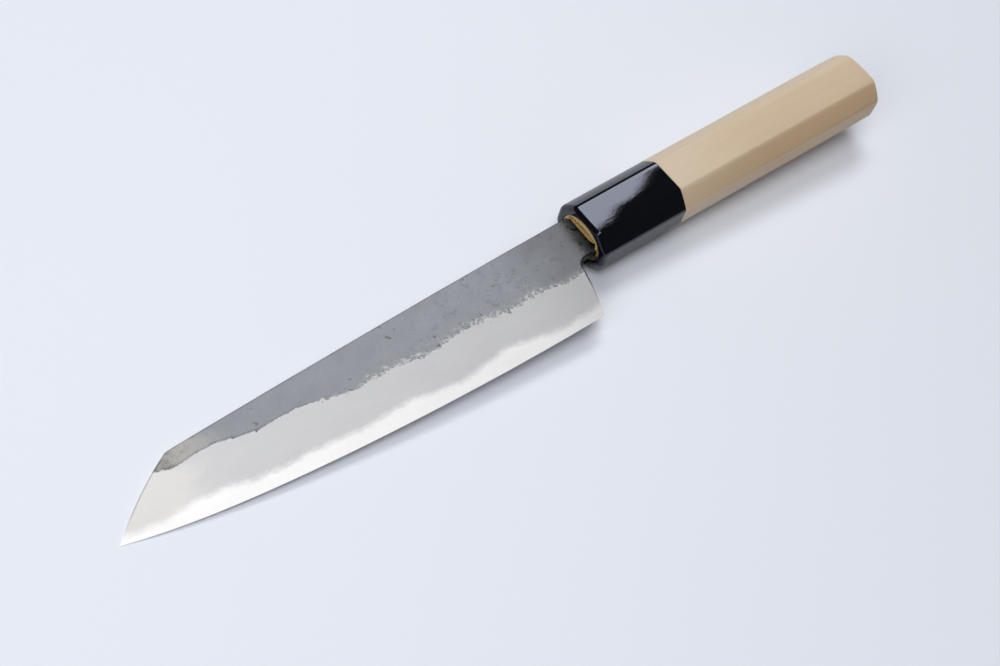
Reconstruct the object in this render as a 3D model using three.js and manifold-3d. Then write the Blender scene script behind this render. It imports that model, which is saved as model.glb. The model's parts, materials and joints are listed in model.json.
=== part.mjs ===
// A kiritsuke petty knife: a blade forged from three layers of steel, its hidden tang,
// a horn ferrule and an octagonal wooden handle. All sizes are in millimetres.
// The knife is drawn straight, with X from the tip (-) to the butt (+) and 0 at the ferrule's
// front face, Y from the cutting edge (-) to the spine (+), and Z out of the blade's right face.
// It is then laid on its left side, resting on the ferrule's front edge and near its tip.
import * as THREE from "three";
import { mergeVertices } from "three/addons/utils/BufferGeometryUtils.js";
import Module from "manifold-3d";

// Blade outline, seen on its right face
const BLADE_REACH = 161; // tip to ferrule
const HEEL_SETBACK = 11.2; // heel corner to ferrule
const HEEL_DROP = 25.2; // heel corner below the handle's axis
const TIP_DROP = 12.1; // tip below the handle's axis
const TIP_SWEEP = 0.22; // share of the edge's rise that comes in its last stretch
const SPINE_INSET = 3.6; // spine below the handle's upper flat, at the ferrule
const SPINE_END_RISE = 3.8; // spine above the axis where the clip starts
const SPINE_CROWN = 0.42; // how far the spine bows out at its middle
const CLIP_LENGTH = 22.2; // clipped front of the spine, measured along X
const CLIP_CROWN = 0.85; // how far the clip bows out at its middle
const CLIP_CORNER = 1.2; // rounding where the spine meets the clip
const NECK_INSET = 3.85; // neck above the handle's lower flat, at the ferrule
const CHOIL_RADIUS = 3.6; // round notch between neck and heel
const CHOIL_GAP = 6.8; // top of the heel's back edge to ferrule
const HEEL_BOW = 0.35; // how far the heel's back edge bows out at its middle

// Blade section
const NECK_THICKNESS = 2.6;
const TIP_THICKNESS = 1.5; // of the flats, where they would reach the tip
const CORE_AT_NECK = 0.86; // hard steel layer in the middle
const CORE_AT_TIP = 0.5;
const EDGE_THICKNESS = 0.12;
const BEVEL_AT_HEEL = 14; // width of the ground bevel above the edge
const BEVEL_AT_TIP = 16.5;
const WELD_GAP = 0.02; // forge-weld line between core and cladding

// Tang, hidden in the handle
const TANG_LENGTH = 72;
const TANG_END_HEIGHT = 4.6;
const TANG_END_THICKNESS = 1.7;

// Handle and ferrule: a tapered octagon
const HANDLE_LENGTH = 122; // ferrule included
const FERRULE_LENGTH = 33.5;
const FRONT_HEIGHT = 21.4;
const BUTT_HEIGHT = 22.6;
const FRONT_THICKNESS = 16.5;
const BUTT_THICKNESS = 17.6;
const CHAMFER = 5; // leg of the four 45 degree faces
const FERRULE_ROUNDING = 1.2; // front edge
const BUTT_ROUNDING = 0.8;

// Tenon of the handle, which fills the ferrule and shows in its mouth
const TENON_WALL_ABOVE = 0.65; // wood between the tang and the horn
const TENON_WALL_BELOW = 1.75;
const FERRULE_SIDE_WALL = 1.6; // horn beside the tenon, at the front
const TENON_RECESS = 0.3; // behind the ferrule's front face

// Wooden slip driven in beside the tang, and the resin that holds the tang's end
const SLIP_LENGTH = 25;
const SLIP_THICKNESS = 0.8;
const SLIP_END_THICKNESS = 0.4;
const SLIP_SETBACK = 1.2; // its long edges inside those of the tang
const SLIP_STANDOFF = 1.3; // its front end off the tang's right face
const BEDDING_GRIP = 28; // length of tang in the resin
const BEDDING_BEYOND = 6; // resin past the tang's end
const BEDDING_WALL = 1.4; // resin around the tang

// Clearances
const GLUE_GAP = 0.1; // between glued pieces
const TANG_CLEARANCE = 0.15; // wood or resin round the tang
const CUT_MARGIN = 3; // how far a cutting shape runs past what it cuts

// Fineness of the faceting
const EDGE_STEPS = 36;
const CURVE_STEPS = 10;
const ROUNDING_STEPS = 4;
const TENON_SIDES = 40;

const TIP_X = -BLADE_REACH;
const HEEL_X = -HEEL_SETBACK;
const CORNER_X = TIP_X + CLIP_LENGTH;
const SPINE_RISE = FRONT_HEIGHT / 2 - SPINE_INSET;
const NECK_DROP = FRONT_HEIGHT / 2 - NECK_INSET;
const TENON_HIGH = SPINE_RISE + TENON_WALL_ABOVE;
const TENON_LOW = -NECK_DROP - TENON_WALL_BELOW;
const TENON_THICKNESS = FRONT_THICKNESS - 2 * (FERRULE_SIDE_WALL + GLUE_GAP);
const BEDDING_START = TANG_LENGTH - BEDDING_GRIP;
const BEDDING_END = TANG_LENGTH + BEDDING_BEYOND;

const wasm = await Module();
wasm.setup();

// Turns a closed geometry into a solid that can be joined and cut.
function solidOf(geometry) {
  const bare = geometry.clone();
  bare.deleteAttribute("normal");
  bare.deleteAttribute("uv");
  const merged = mergeVertices(bare, 1e-4);
  const mesh = new wasm.Mesh({
    numProp: 3,
    vertProperties: new Float32Array(merged.attributes.position.array),
    triVerts: new Uint32Array(merged.index.array),
  });
  return new wasm.Manifold(mesh);
}

// Turns a solid back into a geometry.
function geometryOf(solid) {
  const { vertProperties, triVerts } = solid.getMesh();
  const geometry = new THREE.BufferGeometry();
  geometry.setAttribute("position", new THREE.BufferAttribute(vertProperties, 3));
  geometry.setIndex(new THREE.BufferAttribute(triVerts, 1));
  geometry.computeVertexNormals();
  return geometry;
}

// Skins a run of convex sections, ordered along +X, each a loop that turns from +Y to +Z.
function loft(sections) {
  const count = sections[0].length;
  const last = (sections.length - 1) * count;
  const positions = sections.flat().flatMap((point) => point.toArray());
  const index = [];
  for (let s = 0; s < last; s += count) {
    for (let i = 0; i < count; i++) {
      const j = (i + 1) % count;
      index.push(s + i, s + j, s + count + i);
      index.push(s + j, s + count + j, s + count + i);
    }
  }
  for (let i = 1; i < count - 1; i++) {
    index.push(0, i + 1, i);
    index.push(last, last + i, last + i + 1);
  }
  const geometry = new THREE.BufferGeometry();
  geometry.setAttribute("position", new THREE.Float32BufferAttribute(positions, 3));
  geometry.setIndex(index);
  return solidOf(geometry);
}

// A rectangular section at x, from its Y and Z limits.
function rectangle(x, [lowY, highY], [lowZ, highZ]) {
  return [
    new THREE.Vector3(x, highY, lowZ),
    new THREE.Vector3(x, highY, highZ),
    new THREE.Vector3(x, lowY, highZ),
    new THREE.Vector3(x, lowY, lowZ),
  ];
}

// 0 at the heel and 1 at the tip.
function alongEdge(x) {
  return THREE.MathUtils.clamp((HEEL_X - x) / (HEEL_X - TIP_X), 0, 1);
}

// Height of the cutting edge: a gentle belly that sweeps up into the tip.
function edgeAt(x) {
  const s = alongEdge(x);
  const rise = HEEL_DROP - TIP_DROP;
  return -HEEL_DROP + rise * ((1 - TIP_SWEEP) * s ** 2 + TIP_SWEEP * s ** 8);
}

// Height of the line where the blade's flat turns into the ground bevel.
function bevelTopAt(x) {
  return edgeAt(x) + THREE.MathUtils.lerp(BEVEL_AT_HEEL, BEVEL_AT_TIP, alongEdge(x));
}

// Half the thickness of the tang at depth x.
function tangHalfAt(x) {
  return THREE.MathUtils.lerp(NECK_THICKNESS, TANG_END_THICKNESS, x / TANG_LENGTH) / 2;
}

// Half the thickness between the flats, over blade and tang.
function halfThicknessAt(x) {
  if (x > 0) return tangHalfAt(x);
  return THREE.MathUtils.lerp(NECK_THICKNESS, TIP_THICKNESS, -x / BLADE_REACH) / 2;
}

// Half the thickness of the hard core, even along the tang and drawn out towards the tip.
function coreHalfAt(x) {
  return THREE.MathUtils.lerp(CORE_AT_NECK, CORE_AT_TIP, Math.max(-x, 0) / BLADE_REACH) / 2;
}

// Lower and upper edge of the tang at depth x.
function tangEdgesAt(x) {
  const along = x / TANG_LENGTH;
  return [
    THREE.MathUtils.lerp(-NECK_DROP, -TANG_END_HEIGHT / 2, along),
    THREE.MathUtils.lerp(SPINE_RISE, TANG_END_HEIGHT / 2, along),
  ];
}

// Control point of a curve from a to b that bows out by crown to the left of its run.
function bowed(a, b, crown) {
  const run = b.clone().sub(a).normalize();
  const left = new THREE.Vector2(-run.y, run.x);
  return a.clone().add(b).multiplyScalar(0.5).addScaledVector(left, 2 * crown);
}

// Draws a bowed curve from the outline's last point.
function bowTo(shape, from, to, crown) {
  const control = bowed(from, to, crown);
  shape.quadraticCurveTo(control.x, control.y, to.x, to.y);
}

// The blade and tang as one flat outline, from the tip along the edge and back along the spine.
function bladeOutline() {
  const tip = new THREE.Vector2(TIP_X, -TIP_DROP);
  const corner = new THREE.Vector2(CORNER_X, SPINE_END_RISE);
  const spineStart = new THREE.Vector2(0, SPINE_RISE);
  const heel = new THREE.Vector2(HEEL_X, -HEEL_DROP);
  const heelTop = new THREE.Vector2(-CHOIL_GAP, -NECK_DROP - CHOIL_RADIUS);
  const spineDirection = spineStart.clone().sub(corner).normalize();
  const clipDirection = tip.clone().sub(corner).normalize();
  const spineEnd = corner.clone().addScaledVector(spineDirection, CLIP_CORNER);
  const clipStart = corner.clone().addScaledVector(clipDirection, CLIP_CORNER);
  const [tangLow, tangHigh] = tangEdgesAt(TANG_LENGTH);

  const shape = new THREE.Shape();
  shape.moveTo(tip.x, tip.y);
  for (let i = EDGE_STEPS - 1; i >= 0; i--) {
    const x = THREE.MathUtils.lerp(HEEL_X, TIP_X, i / EDGE_STEPS);
    shape.lineTo(x, edgeAt(x));
  }
  bowTo(shape, heel, heelTop, -HEEL_BOW);
  shape.absarc(heelTop.x + CHOIL_RADIUS, heelTop.y, CHOIL_RADIUS, Math.PI, Math.PI / 2, true);
  shape.lineTo(0, -NECK_DROP);
  shape.lineTo(TANG_LENGTH, tangLow);
  shape.lineTo(TANG_LENGTH, tangHigh);
  shape.lineTo(spineStart.x, spineStart.y);
  bowTo(shape, spineStart, spineEnd, -SPINE_CROWN);
  shape.quadraticCurveTo(corner.x, corner.y, clipStart.x, clipStart.y);
  bowTo(shape, clipStart, tip, -CLIP_CROWN);
  return shape;
}

// A sheet of the blade's outline, between two heights that change along X.
function bladeSheet(lowZAt, highZAt) {
  const options = { depth: 1, bevelEnabled: false, curveSegments: CURVE_STEPS };
  const geometry = new THREE.ExtrudeGeometry(bladeOutline(), options);
  const at = geometry.attributes.position;
  for (let i = 0; i < at.count; i++) {
    const x = at.getX(i);
    at.setZ(i, THREE.MathUtils.lerp(lowZAt(x), highZAt(x), at.getZ(i)));
  }
  return solidOf(geometry);
}

// One section of the ground blade: flats above, bevels running down past the edge.
function grindSection(x) {
  const half = halfThicknessAt(x);
  const top = SPINE_RISE + CUT_MARGIN;
  const bevelTop = bevelTopAt(x);
  const slope = (half - EDGE_THICKNESS / 2) / (bevelTop - edgeAt(x));
  const reach = EDGE_THICKNESS / 2 / slope / 2;
  const low = edgeAt(x) - reach;
  const lowHalf = EDGE_THICKNESS / 4;
  return [
    new THREE.Vector3(x, top, -half),
    new THREE.Vector3(x, top, half),
    new THREE.Vector3(x, bevelTop, half),
    new THREE.Vector3(x, low, lowHalf),
    new THREE.Vector3(x, low, -lowHalf),
    new THREE.Vector3(x, bevelTop, -half),
  ];
}

// The room that the ground blade and its tang fill.
function grindEnvelope() {
  const sections = [grindSection(TIP_X - CUT_MARGIN)];
  for (let i = EDGE_STEPS; i >= 0; i--) {
    sections.push(grindSection(THREE.MathUtils.lerp(HEEL_X, TIP_X, i / EDGE_STEPS)));
  }
  sections.push(grindSection(0), grindSection(TANG_LENGTH + CUT_MARGIN));
  return loft(sections);
}

// One octagonal section of the handle at x, drawn in by inset on every side.
function octagon(x, inset) {
  const along = x / HANDLE_LENGTH;
  const y = THREE.MathUtils.lerp(FRONT_HEIGHT, BUTT_HEIGHT, along) / 2 - inset;
  const z = THREE.MathUtils.lerp(FRONT_THICKNESS, BUTT_THICKNESS, along) / 2 - inset;
  const leg = CHAMFER - inset * (2 - Math.SQRT2);
  const corners = [
    [y, -(z - leg)],
    [y, z - leg],
    [y - leg, z],
    [-(y - leg), z],
    [-y, z - leg],
    [-y, -(z - leg)],
    [-(y - leg), -z],
    [y - leg, -z],
  ];
  return corners.map(([cy, cz]) => new THREE.Vector3(x, cy, cz));
}

// Octagonal sections that round over an end face at x; inward is +1 where the piece lies at greater x.
function roundedEnd(x, radius, inward) {
  const sections = [];
  for (let i = ROUNDING_STEPS; i >= 0; i--) {
    const angle = (Math.PI / 2) * (i / ROUNDING_STEPS);
    const along = radius * (1 - Math.sin(angle));
    sections.push(octagon(x + inward * along, radius * (1 - Math.cos(angle))));
  }
  return inward > 0 ? sections : sections.reverse();
}

// The oval tenon, or with a gap the bore that takes it, from x to x.
function tenonOval(fromX, toX, gap) {
  const middleY = (TENON_HIGH + TENON_LOW) / 2;
  const halfY = (TENON_HIGH - TENON_LOW) / 2 + gap;
  const section = (x) =>
    Array.from({ length: TENON_SIDES }, (_, i) => {
      const angle = (2 * Math.PI * i) / TENON_SIDES;
      const y = middleY + halfY * Math.cos(angle);
      return new THREE.Vector3(x, y, (TENON_THICKNESS / 2 + gap) * Math.sin(angle));
    });
  return loft([section(fromX), section(toX)]);
}

// The tang's room, grown by gap all round, from x to x.
function tangRoom(fromX, toX, gap) {
  const section = (x) => {
    const [low, high] = tangEdgesAt(x);
    const half = tangHalfAt(x) + gap;
    return rectangle(x, [low - gap, high + gap], [-half, half]);
  };
  return loft([section(fromX), section(toX)]);
}

// Inner and outer face of the slip at x: it stands off the tang at the mouth and closes in on it.
function slipFacesAt(x) {
  const along = (x - TENON_RECESS) / SLIP_LENGTH;
  const inner = tangHalfAt(x) + THREE.MathUtils.lerp(SLIP_STANDOFF, GLUE_GAP, along);
  return [inner, inner + THREE.MathUtils.lerp(SLIP_THICKNESS, SLIP_END_THICKNESS, along)];
}

// Lower and upper edge of the slip at x.
function slipEdgesAt(x) {
  const [low, high] = tangEdgesAt(x);
  return [low + SLIP_SETBACK, high - SLIP_SETBACK];
}

// The room cut into the tenon for the slip, open to the tang's own slot.
function slipRoom() {
  const section = (x) => {
    const [low, high] = slipEdgesAt(x);
    const [, outer] = slipFacesAt(x);
    return rectangle(x, [low - GLUE_GAP, high + GLUE_GAP], [0, outer + GLUE_GAP]);
  };
  const from = TENON_RECESS - CUT_MARGIN;
  return loft([section(from), section(TENON_RECESS + SLIP_LENGTH + GLUE_GAP)]);
}

function bladeCore(envelope) {
  return bladeSheet((x) => -coreHalfAt(x), coreHalfAt).intersect(envelope);
}

function rightCladding(envelope) {
  const inside = (x) => coreHalfAt(x) + WELD_GAP;
  return bladeSheet(inside, () => NECK_THICKNESS).intersect(envelope);
}

function leftCladding(envelope) {
  const inside = (x) => -coreHalfAt(x) - WELD_GAP;
  return bladeSheet(() => -NECK_THICKNESS, inside).intersect(envelope);
}

function ferrule() {
  const sections = [...roundedEnd(0, FERRULE_ROUNDING, 1), octagon(FERRULE_LENGTH, 0)];
  return loft(sections).subtract(tenonOval(-CUT_MARGIN, FERRULE_LENGTH + CUT_MARGIN, GLUE_GAP));
}

function handleBody() {
  const front = octagon(FERRULE_LENGTH + GLUE_GAP, 0);
  const body = loft([front, ...roundedEnd(HANDLE_LENGTH, BUTT_ROUNDING, -1)]);
  const tenon = tenonOval(TENON_RECESS, FERRULE_LENGTH + CUT_MARGIN, 0);
  const slot = tangRoom(-CUT_MARGIN, BEDDING_START + CUT_MARGIN, TANG_CLEARANCE);
  const hole = tangRoom(BEDDING_START, BEDDING_END, BEDDING_WALL);
  return body.add(tenon).subtract(slot).subtract(slipRoom()).subtract(hole);
}

function tangSlip() {
  const section = (x) => rectangle(x, slipEdgesAt(x), slipFacesAt(x));
  return loft([section(TENON_RECESS), section(TENON_RECESS + SLIP_LENGTH)]);
}

function tangBedding() {
  const plug = tangRoom(BEDDING_START + GLUE_GAP, BEDDING_END - GLUE_GAP, BEDDING_WALL - GLUE_GAP);
  const pocket = tangRoom(BEDDING_START - CUT_MARGIN, TANG_LENGTH + TANG_CLEARANCE, TANG_CLEARANCE);
  return plug.subtract(pocket);
}

// A named mesh with its own finish.
function piece(name, solid, color, roughness, metalness) {
  const material = new THREE.MeshStandardMaterial({ color, roughness, metalness });
  const mesh = new THREE.Mesh(geometryOf(solid), material);
  mesh.name = name;
  return mesh;
}

const envelope = grindEnvelope();
const blade = [
  piece("blade_core", bladeCore(envelope), 0xf2f2f4, 0.22, 1),
  piece("right_cladding", rightCladding(envelope), 0x8d929a, 0.55, 0.8),
  piece("left_cladding", leftCladding(envelope), 0x8d929a, 0.55, 0.8),
];
const handle = [
  piece("ferrule", ferrule(), 0x111114, 0.12, 0),
  piece("handle_body", handleBody(), 0xd3bd9b, 0.6, 0),
  piece("tang_slip", tangSlip(), 0xb89a63, 0.7, 0),
  piece("tang_bedding", tangBedding(), 0x5a4630, 0.5, 0),
];

// The lowest height of some pieces once the knife is tipped nose down by tilt.
function lowest(meshes, tilt) {
  let low = Infinity;
  for (const mesh of meshes) {
    const at = mesh.geometry.attributes.position;
    for (let i = 0; i < at.count; i++) {
      low = Math.min(low, at.getZ(i) * Math.cos(tilt) + at.getX(i) * Math.sin(tilt));
    }
  }
  return low;
}

// The tilt at which the blade and the handle touch the table together, found by halving.
function restingTilt() {
  const HALVINGS = 50;
  let level = 0;
  let steep = Math.PI / 6;
  for (let i = 0; i < HALVINGS; i++) {
    const tilt = (level + steep) / 2;
    if (lowest(blade, tilt) > lowest(handle, tilt)) level = tilt;
    else steep = tilt;
  }
  return (level + steep) / 2;
}

// The straight knife, tipped onto the ferrule and the tip.
const resting = new THREE.Group();
resting.add(...blade, ...handle);
resting.rotation.y = -restingTilt();

// The knife on its table, standing over the middle of its own footprint.
const knife = new THREE.Group();
knife.add(resting);
const bounds = new THREE.Box3().setFromObject(knife, true);
const middle = bounds.getCenter(new THREE.Vector3());
resting.position.set(-middle.x, -middle.y, -bounds.min.z);

export default knife;
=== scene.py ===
"""A small kiritsuke kitchen knife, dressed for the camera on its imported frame.

The blade is three forged layers with black scale on the flats and a ragged ground bevel, the ferrule is
polished horn, and the handle is a planed octagon of pale wood. Shapes are worked out on the straight knife,
in metres: X runs from the tip (-) to the butt (+) with 0 at the ferrule's front face, Y from the edge (-) to
the spine (+), and Z out of the blade's right face. They are then laid on the table where the frame holds the
knife.
"""
import itertools
import json
import math

import bpy
import numpy as np
from bpy.props import FloatProperty, FloatVectorProperty, PointerProperty
from mathutils import Matrix, Vector, noise
from mathutils.geometry import delaunay_2d_cdt


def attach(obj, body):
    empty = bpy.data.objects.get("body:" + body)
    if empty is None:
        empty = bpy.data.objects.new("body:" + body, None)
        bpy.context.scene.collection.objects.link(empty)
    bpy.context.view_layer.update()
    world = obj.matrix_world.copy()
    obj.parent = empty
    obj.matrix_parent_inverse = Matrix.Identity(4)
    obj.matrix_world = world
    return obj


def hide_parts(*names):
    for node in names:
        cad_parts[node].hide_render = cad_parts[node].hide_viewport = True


bl_info = {
    "name": "Kiritsuke petty knife",
    "version": (1, 0, 0),
    "blender": (4, 5, 0),
    "location": "3D View > Sidebar > Knife",
    "description": "Makes the forged blade, horn ferrule and octagonal handle of a small kitchen knife",
    "category": "Mesh",
}

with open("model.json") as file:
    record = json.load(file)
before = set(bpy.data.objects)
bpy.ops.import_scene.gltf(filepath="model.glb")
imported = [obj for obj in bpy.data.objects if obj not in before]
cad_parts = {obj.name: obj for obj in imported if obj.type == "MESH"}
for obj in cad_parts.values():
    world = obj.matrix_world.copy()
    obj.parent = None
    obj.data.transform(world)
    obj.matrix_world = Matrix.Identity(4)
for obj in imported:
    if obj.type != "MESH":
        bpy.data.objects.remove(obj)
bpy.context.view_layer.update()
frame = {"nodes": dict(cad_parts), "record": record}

MM = 0.001
SIDES = RIGHT, LEFT = 1, -1

# Turns above which an edge is left sharp: on most pieces, on the honed core and on the horn
SHARP_TURN = math.radians(38)
CREASE_TURN = math.radians(1.5)
HORN_TURN = math.radians(15)


# Kinds of setting

def length(name, description, millimetres):
    """A size, written in millimetres and kept in metres."""
    return FloatProperty(name=name, description=description, default=millimetres * MM, precision=5,
                         unit="LENGTH", subtype="DISTANCE")


def share(name, description, value):
    """A number from 0 to 1."""
    return FloatProperty(name=name, description=description, default=value, min=0, max=1, subtype="FACTOR")


def angle(name, description, degrees):
    """A turn, written in degrees and kept in radians."""
    return FloatProperty(name=name, description=description, default=math.radians(degrees),
                         unit="ROTATION", subtype="ANGLE")


def point(name, description, *metres):
    """A place on or over the table."""
    return FloatVectorProperty(name=name, description=description, default=metres, unit="LENGTH",
                               subtype="XYZ")


def power(name, description, watts):
    """A lamp's strength."""
    return FloatProperty(name=name, description=description, default=watts, unit="POWER")


def colour(name, description, *screen):
    """A colour, written as it shows on a screen, from 0 to 255, and kept as light."""
    light = [(c / 255 / 12.92) if c < 10.4 else ((c / 255 + 0.055) / 1.055) ** 2.4 for c in screen]
    return FloatVectorProperty(name=name, description=description, default=light, size=3, min=0, max=1,
                               subtype="COLOR")


class BladeSizes(bpy.types.PropertyGroup):
    """Outline, section and forged surface of the blade."""
    reach: length("Reach", "Tip to ferrule", 161)
    heel_setback: length("Heel setback", "Heel corner to ferrule", 11.2)
    heel_drop: length("Heel drop", "Heel corner below the handle's axis", 25.2)
    tip_drop: length("Tip drop", "Tip below the handle's axis", 12.1)
    tip_sweep: share("Tip sweep", "Share of the edge's rise that comes in its last stretch", 0.22)
    spine_rise: length("Spine rise", "Spine above the axis at the ferrule", 7.1)
    spine_end_rise: length("Spine end rise", "Spine above the axis where the clip starts", 3.8)
    spine_crown: length("Spine crown", "How far the spine bows out", 0.42)
    clip_length: length("Clip length", "Clipped front of the spine, along the knife", 22.2)
    clip_crown: length("Clip crown", "How far the clip bows out", 0.85)
    clip_corner: length("Clip corner", "Rounding where spine and clip meet", 1.2)
    neck_drop: length("Neck drop", "Neck below the axis", 6.85)
    choil_radius: length("Choil radius", "Round notch between neck and heel", 3.6)
    choil_gap: length("Choil gap", "Top of the heel's back edge to ferrule", 6.8)
    heel_bow: length("Heel bow", "How far the heel's back edge bows out", 0.35)
    neck_thickness: length("Neck thickness", "Blade at the ferrule", 2.6)
    tip_thickness: length("Tip thickness", "Between the flats, where they would reach the tip", 1.5)
    edge_thickness: length("Edge thickness", "Flat left on the cutting edge", 0.05)
    bevel_at_heel: length("Bevel at heel", "Width of the ground bevel", 14)
    bevel_at_tip: length("Bevel at tip", "Width of the ground bevel", 16.5)
    band_height: length("Band height", "Bright hard steel above the edge", 4.75)
    band_at_tip: length("Band lost at tip", "How much lower the bright steel runs at the tip", 2.2)
    tang_length: length("Tang length", "Tang inside the handle", 72)
    tang_end_height: length("Tang end height", "Far end of the tang", 4.6)
    tang_end_thickness: length("Tang end thickness", "Far end of the tang", 1.7)
    weld_gap: length("Weld line", "Line between core and cladding", 0.02)
    hammer_depth: length("Hammer marks", "Swell of the forged flats", 0.03)
    scale_depth: length("Scale roughness", "Rough skin of the forged flats", 0.05)
    pit_depth: length("Pit depth", "Deepest pits in the scale", 0.09)
    rim: length("Eased rim", "Width eased off the spine's corners", 0.22)
    choil_rim: length("Choil rim", "Width eased off round the choil", 0.55)
    mesh_step: length("Mesh step", "Distance between points on the forged flats", 0.5)


class HandleSizes(bpy.types.PropertyGroup):
    """Octagonal handle, its ferrule and the wood in the ferrule's mouth."""
    length: length("Length", "Handle with its ferrule", 122)
    ferrule_length: length("Ferrule length", "Horn at the front", 33.5)
    front_height: length("Front height", "Edge side to spine side, at the ferrule's front", 21.4)
    butt_height: length("Butt height", "Edge side to spine side, at the butt", 22.6)
    front_thickness: length("Front thickness", "Left to right, at the ferrule's front", 16.5)
    butt_thickness: length("Butt thickness", "Left to right, at the butt", 17.6)
    chamfer: length("Chamfer", "Leg of the four slanted faces", 5)
    broad_softness: length("Broad face softness", "Rounding of the broad faces' long edges, edge side", 1.3)
    broad_wear: length("Broad face wear", "Rounding of the broad faces' long edges, spine side", 2.4)
    narrow_softness: length("Lower face softness", "Rounding of the lower face's long edges", 2.2)
    narrow_wear: length("Upper face softness", "Rounding of the upper face's long edges", 4.0)
    butt_softness: share("Butt softness", "How much rounder the long edges are where they meet the butt", 0.6)
    chamfer_crown: length("Chamfer crown", "How far the slanted faces swell", 0.1)
    ferrule_rounding: length("Ferrule rounding", "Front edge of the horn", 1.2)
    ferrule_wear: length("Ferrule wear", "Front edge of the horn on its narrow sides", 1.7)
    ferrule_arris: angle("Ferrule arris", "Sharp turn on either side of the horn's rounded front edge", 25)
    butt_rounding: length("Butt rounding", "Rounding of the butt", 0.45)
    butt_crown: length("Butt crown", "How far the butt's face swells", 0.4)
    butt_bow: length("Butt bow", "How far the butt's rim bows out over the flats", 1.1)
    tenon_height: length("Tenon height", "Oval tenon in the ferrule", 16.35)
    tenon_thickness: length("Tenon thickness", "Oval tenon in the ferrule", 13.1)
    tenon_drop: length("Tenon drop", "Tenon's centre below the axis", 0.425)
    tenon_recess: length("Tenon recess", "End of the tenon behind the horn's face", 0.3)
    tenon_roughness: length("Tenon roughness", "Unevenness of the sawn end", 0.16)
    glue_gap: length("Glue gap", "Between glued pieces", 0.1)
    tang_clearance: length("Tang clearance", "Wood round the tang", 0.15)
    slip_length: length("Slip length", "Wooden slip beside the tang", 25)
    slip_thickness: length("Slip thickness", "Its front end", 0.8)
    slip_end_thickness: length("Slip end thickness", "Its thin end", 0.4)
    slip_setback: length("Slip setback", "Its edges inside those of the tang", 1.2)
    slip_standoff: length("Slip standoff", "Its front end off the tang", 1.3)
    pocket_start: length("Pocket start", "Depth where the resin begins", 44)
    pocket_end: length("Pocket end", "Depth of the hole for the tang", 78)
    pocket_wall: length("Pocket wall", "Resin round the tang", 1.4)


class Finishes(bpy.types.PropertyGroup):
    """Colours of the knife's surfaces."""
    scale: colour("Scale", "Blue-grey forge scale", 131, 135, 141)
    scale_neck: colour("Scale at the neck", "Darker scale by the ferrule", 100, 101, 106)
    scale_band: colour("Scale by the bevel", "Rough scale along its lower edge", 140, 144, 145)
    scale_tip: colour("Scale at the tip", "Thin warm scale by the clip", 164, 162, 157)
    pit: colour("Pits", "Bottom of the pits", 58, 60, 64)
    bevel: colour("Bevel", "Satin ground iron", 188, 188, 190)
    # Warmer tone of the iron towards the tip, and lighter than the bevel as painted light
    bevel_warm_and_lit: colour("Warm bevel", "Ground iron towards the tip", 204, 202, 200)
    core: colour("Core steel", "Bright band along the edge", 230, 229, 229)
    horn: colour("Horn", "Polished black horn", 6, 6, 7)
    horn_streak: colour("Horn streak", "Faint brown streaks in the horn", 26, 21, 18)
    horn_sheen: colour("Horn sheen", "Tint of the horn's reflections", 222, 230, 255)
    wood: colour("Wood", "Planed handle wood", 206, 185, 157)
    # Paler wood, mixed in by the ferrule and towards the spine side
    wood_pale: colour("Pale wood", "Cleaner wood by the ferrule and on the spine side", 216, 199, 176)
    wood_line: colour("Grain lines", "Late wood and pores", 170, 140, 104)
    # Yellowed wood where the knife is held, also darkening the lower slanted faces as painted shade
    wood_held_and_shaded: colour("Held wood", "Wood that the hand has yellowed", 170, 126, 72)
    tenon: colour("Tenon end", "Golden sawn end of the tenon", 214, 181, 121)
    # Also darkens the low end of the sawn tenon under the neck, partly as scorch and partly as painted shade
    tenon_dark: colour("Tenon cracks", "Scorched wood and cracks", 104, 72, 34)
    slip: colour("Slip", "Split wood beside the tang", 196, 160, 98)
    resin: colour("Resin", "Bedding round the tang", 88, 66, 44)
    floor: colour("Floor", "Pale table", 232, 236, 245)
    sky: colour("Room light", "Light from all round", 236, 242, 255)


class StageSettings(bpy.types.PropertyGroup):
    """Camera and lights."""
    camera_aim: point("Camera aim", "Where the camera looks at the table", -0.01816, -0.00426, 0)
    camera_distance: length("Camera distance", "Camera to aim", 429.3)
    camera_turn: angle("Camera turn", "Place round the knife, from the edge's side to the tip's", 56.93)
    camera_lift: angle("Camera lift", "Camera above the table", 53.59)
    camera_roll: angle("Camera roll", "Camera turned about its own line of sight", 22.16)
    camera_lens: FloatProperty(name="Lens", description="Focal length", default=54, subtype="DISTANCE_CAMERA")
    window_place: point("Window place", "Middle of the soft window light", 0.754, 0.958, 1.6)
    window_length: length("Window length", "Long side of the soft light", 1700)
    window_depth: length("Window depth", "Short side of the soft light", 700)
    window_turn: angle("Window turn", "Long side's turn from the knife's length", 14.8)
    window_power: power("Window power", "Light from the window", 20.6)
    overhead_place: point("Overhead place", "Middle of the soft light overhead", -0.42, -0.1, 1.6)
    overhead_size: length("Overhead size", "Side of the light overhead", 900)
    overhead_power: power("Overhead power", "Light from overhead", 11.2)
    front_place: point("Front place", "Middle of the soft light beyond the tip", -1.26, -0.27, 0.94)
    front_size: length("Front size", "Side of the light beyond the tip", 900)
    front_power: power("Front power", "Light from beyond the tip", 7.8)
    room_strength: FloatProperty(name="Room strength", description="Light from all round", default=0.08)
    floor_size: length("Floor size", "Side of the table top", 8000)


# Small mathematics

def lerp(a, b, t):
    """The value a share t of the way from a to b."""
    return a + (b - a) * t


def smooth(low, high, value):
    """0 below low and 1 above high, with an eased run between."""
    t = np.clip((value - low) / (high - low), 0, 1)
    return t * t * (3 - 2 * t)


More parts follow.
